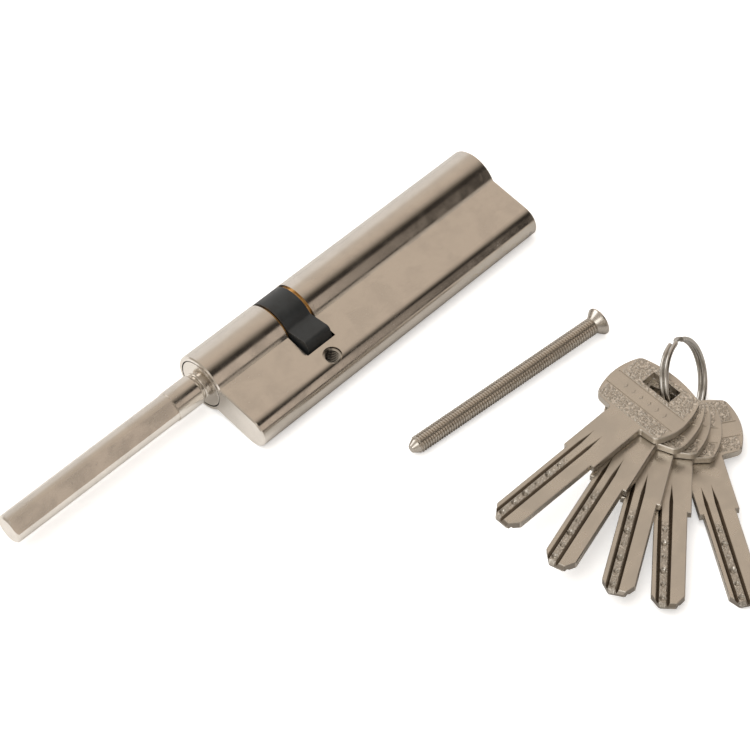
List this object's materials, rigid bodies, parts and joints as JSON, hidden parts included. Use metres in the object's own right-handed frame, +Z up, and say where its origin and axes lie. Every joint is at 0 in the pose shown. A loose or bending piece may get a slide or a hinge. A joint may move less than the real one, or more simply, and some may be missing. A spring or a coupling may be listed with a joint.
{
  "type": "euro profile lock cylinder",
  "caption": "Long nickel euro profile lock cylinder with a long drive shaft, turning cam, dimple pins, fixing screw and keys on a split ring.",
  "frame": {"origin": "centre of the fixing screw's threaded hole, half way through the pin bible", "axes": "+X along the plug axis from the drive shaft to the key side, +Z up from the table that the lock, screw and keys lie on, pin bible towards -Y"},
  "size_m": [0.171, 0.1563, 0.022],
  "materials": {
    "nickel_body": "nickel plated, polished",
    "nickel_plug": "nickel plated, fine turned",
    "nickel_shaft": "nickel plated, polished",
    "nickel_screw": "nickel plated thread",
    "nickel_key": "nickel plated, satin",
    "ring_steel": "bright spring steel",
    "black_cam": "black oxide, satin",
    "bronze_ring": "phosphor bronze",
    "brass": "turned brass",
    "steel": "hardened steel",
    "spring_steel": "spring wire"
  },
  "bodies": {
    "lock_body": {"cylinder_body": "nickel_body", "body_drill_pin": "steel", "driver_pin_1": "steel", "driver_pin_2": "steel", "driver_pin_3": "steel", "driver_pin_4": "steel", "driver_pin_5": "steel", "driver_pin_6": "steel", "pin_spring_1": "spring_steel", "pin_spring_2": "spring_steel", "pin_spring_3": "spring_steel", "pin_spring_4": "spring_steel", "pin_spring_5": "spring_steel", "pin_spring_6": "spring_steel", "chamber_plug_1": "brass", "chamber_plug_2": "brass", "chamber_plug_3": "brass", "chamber_plug_4": "brass", "chamber_plug_5": "brass", "chamber_plug_6": "brass"},
    "key_plug": {"key_plug": "nickel_plug", "plug_drill_pins": "steel", "key_side_retaining_ring": "bronze_ring"},
    "key_pins": {"key_pin_1": "brass", "key_pin_2": "brass", "key_pin_3": "brass", "key_pin_4": "brass", "key_pin_5": "brass", "key_pin_6": "brass"},
    "drive": {"drive_rotor": "nickel_plug", "drive_shaft": "nickel_shaft", "shaft_cross_pin": "steel", "shaft_side_retaining_ring": "bronze_ring"},
    "clutch": {"clutch": "steel", "clutch_spring": "spring_steel"},
    "cam": {"cam": "black_cam"},
    "fixing_screw": {"fixing_screw": "nickel_screw"},
    "key_ring": {"key_ring": "ring_steel"},
    "key_1": {"key_1": "nickel_key"},
    "key_2": {"key_2": "nickel_key"},
    "key_3": {"key_3": "nickel_key"},
    "key_4": {"key_4": "nickel_key"},
    "key_5": {"key_5": "nickel_key"}
  },
  "joints": [
    {"name": "drive_shaft_turn", "type": "hinge", "parent": "lock_body", "child": "drive", "pos_m": [0, 0.0184, 0.00336], "axis": [1, 0, 0], "continuous": true},
    {"name": "cam_turn", "type": "hinge", "parent": "lock_body", "child": "cam", "pos_m": [0, 0.0184, 0.00336], "axis": [1, 0, 0], "continuous": true},
    {"name": "plug_turn", "type": "hinge", "parent": "lock_body", "child": "key_plug", "pos_m": [0, 0.0184, 0.00336], "axis": [1, 0, 0], "continuous": true},
    {"name": "pins_drop", "type": "slide", "parent": "key_plug", "child": "key_pins", "axis": [0, 0.9838, 0.1795], "range_m": [0, 0.0008]},
    {"name": "clutch_slide", "type": "slide", "parent": "drive", "child": "clutch", "axis": [1, 0, 0], "range_m": [-0.0015, 0]},
    {"name": "fixing_screw_lift", "type": "slide", "parent": "lock_body", "child": "fixing_screw", "axis": [0, 0, 1], "range_m": [0, 0.04]},
    {"name": "key_ring_lift", "type": "slide", "parent": "lock_body", "child": "key_ring", "axis": [0, 0, 1], "range_m": [0, 0.04]},
    {"name": "key_1_swing", "type": "hinge", "parent": "key_ring", "child": "key_1", "pos_m": [0.04607, -0.07654, 0.01052], "axis": [-0.0656, -0.0239, 0.9976], "range_deg": [-5, 5]},
    {"name": "key_2_swing", "type": "hinge", "parent": "key_ring", "child": "key_2", "pos_m": [0.04564, -0.07816, 0.00765], "axis": [-0.0656, -0.0239, 0.9976], "range_deg": [-5, 5]},
    {"name": "key_3_swing", "type": "hinge", "parent": "key_ring", "child": "key_3", "pos_m": [0.04611, -0.07938, 0.00484], "axis": [-0.0656, -0.0239, 0.9976], "range_deg": [-5, 5]},
    {"name": "key_4_swing", "type": "hinge", "parent": "key_ring", "child": "key_4", "pos_m": [0.04741, -0.08024, 0.0021], "axis": [-0.0656, -0.0239, 0.9976], "range_deg": [-5, 5]},
    {"name": "key_5_swing", "type": "hinge", "parent": "key_ring", "child": "key_5", "pos_m": [0.04971, -0.08065, -0.00057], "axis": [-0.0656, -0.0239, 0.9976], "range_deg": [-5, 5]}
  ],
  "couplings": [
    {"joint": "cam_turn", "follows": "drive_shaft_turn", "ratio": 1}
  ]
}
